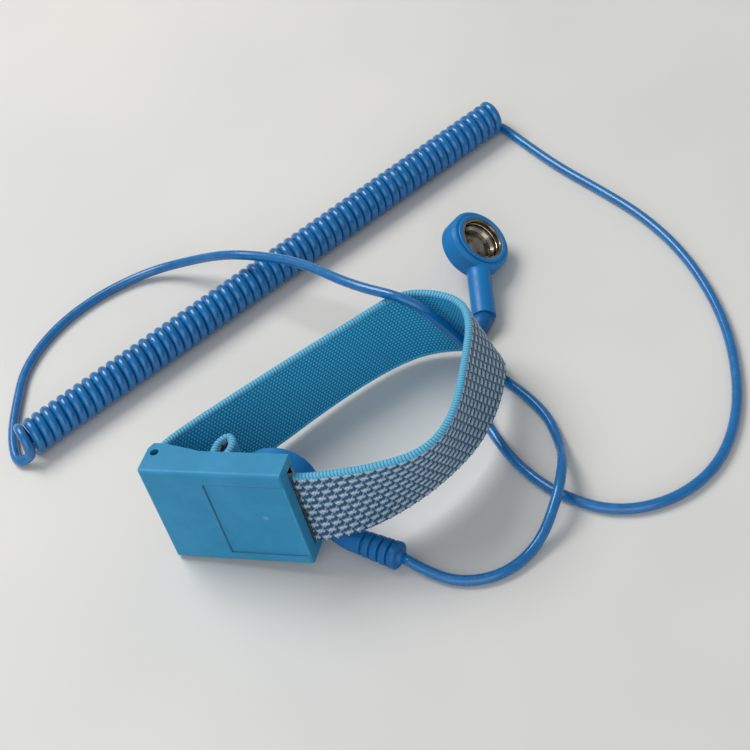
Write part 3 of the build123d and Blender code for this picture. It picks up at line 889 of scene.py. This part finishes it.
# %% Build the web of the band
WEB_LOW, WEB_HIGH, WEB_ROWS = 3.05, 21.85, 88
OUTER_SKIN, OUTER_RELIEF, INNER_SKIN, INNER_RELIEF = 0.62, 0.36, 0.72, 0.17
heights = np.linspace(WEB_LOW, WEB_HIGH, WEB_ROWS)
world, out, rise = band_places(heights)
mean_length = (upper_length + lower_length) / 2
run = np.linspace(0, mean_length, WEB_STEPS)[:, None] * np.ones((1, len(heights)))
rise_mm = (heights - heights[0])[None, :] * np.ones((WEB_STEPS, 1))
outer, silver = outside_relief(run, rise_mm)
inner = inside_relief(run, rise_mm)
outer_places = world + out * ((OUTER_SKIN + OUTER_RELIEF * outer) * MM)[:, :, None]
inner_places = world - out * ((INNER_SKIN + INNER_RELIEF * inner) * MM)[:, :, None]
rings = np.concatenate([outer_places, inner_places[:, ::-1]], axis=1)
marks = {
    "silver": np.concatenate([silver, np.zeros_like(inner)], axis=1),
    "relief": np.concatenate([outer, inner[:, ::-1]], axis=1),
    "inner_face": np.concatenate([np.zeros_like(outer), np.ones_like(inner)], axis=1),
}
both_runs = np.concatenate([run, run], axis=1)
both_rises = np.concatenate([rise_mm, rise_mm[:, ::-1]], axis=1)
uvs = np.stack([both_runs, both_rises], axis=2)
band = skin("elastic_band", rings, uvs=uvs, marks=marks)
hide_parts("band_web")
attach(band, "strap")
print("web points", len(band.data.vertices), "length mm", round(mean_length, 1))

# %% [markdown]
# ## The overcast edges
# Both edges are bound with thick cyan yarn that wraps over the edge again and again. Seen
# close, that is a row of small round ribs 0.75 mm apart. An oval tube follows each edge, and
# its radius swells at every rib; the ribs lean a little, as wrapped yarn does.

# %% Build both bound edges
RIB, EDGE_STEPS, EDGE_SIDES = 0.75, 2040, 14


def bound_edge(name, height, half_tall, half_thick, inward):
    """An oval tube with ribs along one edge of the band; its sizes are in mm."""
    upper, length = edge_line(upper_loop, EDGE_STEPS)
    lower, _ = edge_line(lower_loop, EDGE_STEPS)
    centre, out, rise = band_places([height], upper, lower)
    turn = np.arange(EDGE_SIDES) / EDGE_SIDES * math.tau
    run = np.linspace(0, length, EDGE_STEPS)[:, None]
    phase = (run + 0.22 * np.sin(turn)[None, :] + 0.02 * np.sin(run * 0.9)) / RIB
    swell = 0.80 + 0.20 * np.abs(np.sin(math.pi * phase)) ** 0.7
    thick = half_thick * np.cos(turn)[None, :] * swell - inward
    tall = half_tall * np.sin(turn)[None, :] * swell
    rings = centre + (out * thick[:, :, None] + rise * tall[:, :, None]) * MM
    uvs = np.stack([phase, np.broadcast_to(turn[None, :] / math.tau, phase.shape)], axis=2)
    edge = skin(name, rings, uvs=uvs, marks={"rib": swell * 5 - 4})
    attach(edge, "strap")
    return edge


top_binding = bound_edge("top_binding", 21.95, 0.72, 0.90, 0.02)
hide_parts("upper_selvedge")
low_binding = bound_edge("low_binding", 3.15, 0.46, 0.86, 0.22)
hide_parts("lower_selvedge")
print("ribs on each edge", round(upper_length / RIB))

# %% [markdown]
# ## The yarn's finish
# The web's base colour is mixed from the marks: painted shade makes the blue dark deep in the
# knit and brighter on the raised ground yarn, and pale silver lies on the conductive loops, which
# are also partly metallic and smoother. A stretched noise adds single fibres. The bindings reuse
# the same fibre group in cyan, with their tone and their roughness following the fibres, and
# painted shade darkens them between the ribs.

# %% A shared fibre group and the two yarn finishes
fibre, fibre_in, fibre_out = new_group(
    "fibres",
    [
        ("Along", "NodeSocketFloat", 1.0),
        ("Across", "NodeSocketFloat", 6.0),
        ("Depth", "NodeSocketFloat", 0.5),
    ],
    [("Tone", "NodeSocketFloat"), ("Normal", "NodeSocketVector")],
)
place = add(fibre, "ShaderNodeUVMap", {"uv_map": "UVMap"}).outputs["UV"]
split = add(fibre, "ShaderNodeSeparateXYZ", Vector=place)
joined = add(
    fibre,
    "ShaderNodeCombineXYZ",
    X=maths(fibre, "MULTIPLY", split.outputs["X"], fibre_in.outputs["Along"]),
    Y=maths(fibre, "MULTIPLY", split.outputs["Y"], fibre_in.outputs["Across"]),
)
hairs = add(
    fibre, "ShaderNodeTexNoise", Vector=joined.outputs[0], Scale=2.2, Detail=4.0, Roughness=0.65
)
fibre.links.new(ramp(fibre, hairs.outputs["Fac"], 0.3, 0.7), fibre_out.inputs["Tone"])
bump = add(
    fibre,
    "ShaderNodeBump",
    Strength=fibre_in.outputs["Depth"],
    Distance=0.00012,
    Height=hairs.outputs["Fac"],
)
fibre.links.new(bump.outputs["Normal"], fibre_out.inputs["Normal"])


def mark(tree, name):
    """A value stored on the mesh's points."""
    return add(tree, "ShaderNodeAttribute", {"attribute_name": name}).outputs["Fac"]


band_finish = bpy.data.materials.new("knitted band")
band_finish.use_nodes = True
tree = band_finish.node_tree
shader = tree.nodes["Principled BSDF"]
hair = group_node(tree, fibre, Along=1.6, Across=1.6, Depth=0.55)
relief_mark, silver_mark = mark(tree, "relief"), mark(tree, "silver")
face_mark = mark(tree, "inner_face")
# Painted shade: the blue is darker where the knit lies deep and brighter on raised yarn.
deep = ramp(tree, relief_mark, 0.05, 0.7)
inner_blue = mix_colour(tree, deep, rgb(0, 122, 176), rgb(70, 214, 250))
outer_blue = mix_colour(tree, deep, rgb(20, 74, 112), rgb(58, 136, 180))
ground = mix_colour(tree, face_mark, outer_blue, inner_blue)
thread = mix_colour(tree, hair.outputs["Tone"], rgb(150, 170, 184), rgb(226, 236, 242))
knit = mix_colour(tree, silver_mark, ground, thread)
shade = ramp(tree, hair.outputs["Tone"], 0.0, 1.0, 0.82, 1.0)
grey = add(tree, "ShaderNodeCombineColor", Red=shade, Green=shade, Blue=shade).outputs[0]
tree.links.new(mix_colour(tree, 1.0, knit, grey, "MULTIPLY"), shader.inputs["Base Color"])
tree.links.new(maths(tree, "MULTIPLY", silver_mark, 0.35), shader.inputs["Metallic"])
tree.links.new(ramp(tree, silver_mark, 0.0, 1.0, 0.72, 0.42), shader.inputs["Roughness"])
tree.links.new(hair.outputs["Normal"], shader.inputs["Normal"])
shader.inputs["Sheen Weight"].default_value = 0.03
band.data.materials.append(band_finish)

binding_finish = bpy.data.materials.new("binding yarn")
binding_finish.use_nodes = True
tree = binding_finish.node_tree
shader = tree.nodes["Principled BSDF"]
hair = group_node(tree, fibre, Along=6.0, Across=14.0, Depth=0.5)
# Painted shade: the yarn's colour is darker between the ribs.
raised = ramp(tree, mark(tree, "rib"), 0.05, 0.85)
yarn = mix_colour(tree, hair.outputs["Tone"], rgb(66, 158, 200), rgb(104, 196, 228))
tree.links.new(mix_colour(tree, raised, rgb(12, 84, 130), yarn), shader.inputs["Base Color"])
tree.links.new(ramp(tree, hair.outputs["Tone"], 0.0, 1.0, 0.5, 0.68), shader.inputs["Roughness"])
tree.links.new(hair.outputs["Normal"], shader.inputs["Normal"])
shader.inputs["Sheen Weight"].default_value = 0.15
for edge in (top_binding, low_binding):
    edge.data.materials.append(binding_finish)
print("yarns", band_finish.name, binding_finish.name)

# %% [markdown]
# ## The strain relief
# A soft moulded sleeve leads the cord out of the wrist connector's neck and bends with it. It
# has four slits near its end, which let it flex, and the collars between them grow towards a
# rounded last one. It is a tube whose radius is read from a short table of steps.

# %% Build the strain relief
relief_route = [
    (0.00030, -0.02253, 0.00890),
    (0.00200, -0.02272, 0.00700),
    (0.00340, -0.02290, 0.00540),
    (0.00560, -0.02420, 0.00345),
    (0.00900, -0.02575, 0.00292),
    (0.01500, -0.02735, 0.00292),
    (0.02160, -0.02917, 0.00292),
]
smooth = np.array([tuple(p) for p in spline_points("relief line", relief_route, 40)])
relief_steps = np.linalg.norm(np.diff(smooth, axis=0), axis=1)
relief_run = np.concatenate([[0.0], np.cumsum(relief_steps)]) / MM
sleeve_length = relief_run[-1]
SLIT_PITCH, SLIT_WIDTH, SLIT_DEPTH, SLITS, END_COLLAR = 2.15, 0.5, 0.85, 4, 1.75
# Each pair is a distance along the sleeve and the radius there, in mm.
profile = [(0.0, 1.5), (0.2, 2.5), (0.8, 2.72)]
first_slit = sleeve_length - 1.0 - END_COLLAR - SLITS * SLIT_PITCH + SLIT_PITCH - SLIT_WIDTH
for number in range(SLITS):
    start = first_slit + number * SLIT_PITCH
    before = 2.74 + 0.08 * number
    after = before + 0.1
    floor = before - SLIT_DEPTH
    profile += [(start - 0.16, before), (start - 0.03, before - 0.10), (start, before - 0.25)]
    profile += [(start + 0.02, floor), (start + SLIT_WIDTH - 0.02, floor)]
    profile += [(start + SLIT_WIDTH, after - 0.25), (start + SLIT_WIDTH + 0.03, after - 0.10)]
    profile += [(start + SLIT_WIDTH + 0.16, after)]
collar_end = first_slit + (SLITS - 1) * SLIT_PITCH + SLIT_WIDTH + END_COLLAR
profile += [(collar_end - 0.5, 3.12), (collar_end - 0.15, 3.0), (collar_end, 2.7)]
profile += [(collar_end + 0.05, 1.75), (collar_end + 0.5, 1.5), (sleeve_length, 1.28)]
runs = sorted({r for r, _ in profile} | set(np.linspace(0.0, sleeve_length, 60)))
table = np.array(sorted(profile))
radii = np.interp(runs, table[:, 0], table[:, 1]) * MM
places = np.column_stack([np.interp(runs, relief_run, smooth[:, axis]) for axis in range(3)])
sleeve = tube("strain_relief_sleeve", [Vector(p) for p in places], list(radii), sides=28)
sleeve.data.materials.append(relief_finish)
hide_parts("wrist_strain_relief")
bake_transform(sleeve)
print("sleeve mm", round(sleeve_length, 1), "first slit at", round(first_slit, 1))

# %% [markdown]
# ## The free connector's boot
# The free connector's neck ends in a short tapering boot round the lead. Its slits are
# shallow, because it hardly bends. A lathe-like solid would need its own curved axis, so the
# boot is a tube instead: it follows the same cord line, backwards from the lead's end, and the
# lead comes out of its middle. Where it is thick it is held just above the table.

# %% Build the boot
BOOT_LENGTH, BOOT_WIDE, BOOT_TAPER, BOOT_START = 0.0068, 0.00282, 0.0013, 0.0027
SLIT_SPACING, BOOT_SLIT, TABLE_GAP = 0.0017, 0.00028, 0.00002
boot_line = list(reversed(cord_line[-64:]))
boot_run, boot_places, boot_radii = 0.0, [], []
for index, place in enumerate(boot_line):
    if index:
        boot_run += (place - boot_line[index - 1]).length
    if boot_run > BOOT_LENGTH:
        break
    slit = BOOT_SLIT * max(0.0, math.sin(math.tau * (boot_run / SLIT_SPACING))) ** 4
    taper = BOOT_WIDE - BOOT_TAPER * (boot_run / BOOT_LENGTH) ** 1.3
    boot_places.append(place)
    boot_radii.append(min(taper - slit, place.z - TABLE_GAP) if index else BOOT_START)
boot = tube("free_connector_boot", boot_places, boot_radii, sides=24)
boot.data.materials.append(relief_finish)
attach(boot, "strap")
print("boot rings", len(boot_places))

# %% [markdown]
# ## The sockets' lips
# Each connector's plastic rolls a little over its socket's flat rim, so only a narrow bright ring
# of nickel shows. A lip is a small section turned round the socket's axis. The axis is measured
# from the back cap to the spring ring, so one function serves both connectors, however they lie.

# %% Build the sockets' lips
LIP_STEPS = 96
# Each pair is a radius round the socket's axis and a height in front of its rim, in mm.
LIP_SECTION = [
    (6.75, -0.28), (6.62, 0.02), (6.35, 0.13), (5.95, 0.13), (5.74, 0.05), (5.70, -0.02),
    (5.95, -0.04), (6.4, -0.05), (6.6, -0.28),
]


def socket_lip(name, end, body):
    """A moulded ring that covers the outer part of a socket's flat rim."""
    cup = np.array([tuple(v.co) for v in nodes[f"{end}_socket_cup"].data.vertices])
    cap = np.array([tuple(v.co) for v in nodes[f"{end}_back_cap"].data.vertices])
    ring_low, ring_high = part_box(f"{end}_spring_ring")
    middle = (np.array(ring_low) + np.array(ring_high)) / 2
    cap_middle = (cap.min(axis=0) + cap.max(axis=0)) / 2
    normal = middle - cap_middle
    normal /= np.linalg.norm(normal)
    front = ((cup - middle) @ normal).max()
    side = np.cross(normal, [0.0, 0.0, 1.0])
    side /= np.linalg.norm(side)
    across = np.cross(normal, side)
    rings = []
    for step in range(LIP_STEPS):
        angle = math.tau * step / LIP_STEPS
        outward = side * math.cos(angle) + across * math.sin(angle)
        rings.append(
            [middle + outward * r * MM + normal * (front + h * MM) for r, h in LIP_SECTION]
        )
    rings = np.array(rings)
    count = len(LIP_SECTION)
    faces = []
    for ring in range(LIP_STEPS):
        for step in range(count):
            here, near = ring * count + step, ring * count + (step + 1) % count
            there = (ring + 1) % LIP_STEPS * count
            faces.append((here, near, there + (step + 1) % count, there + step))
    lip = mesh_object(name, rings.reshape(-1, 3), faces)
    lip.data.materials.append(connector_finish)
    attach(lip, body)
    return lip


ground_lip = socket_lip("free_socket_lip", "ground", "strap")
wrist_lip = socket_lip("wrist_socket_lip", "wrist", "wrist_connector")
print("lips", ground_lip.name, wrist_lip.name)
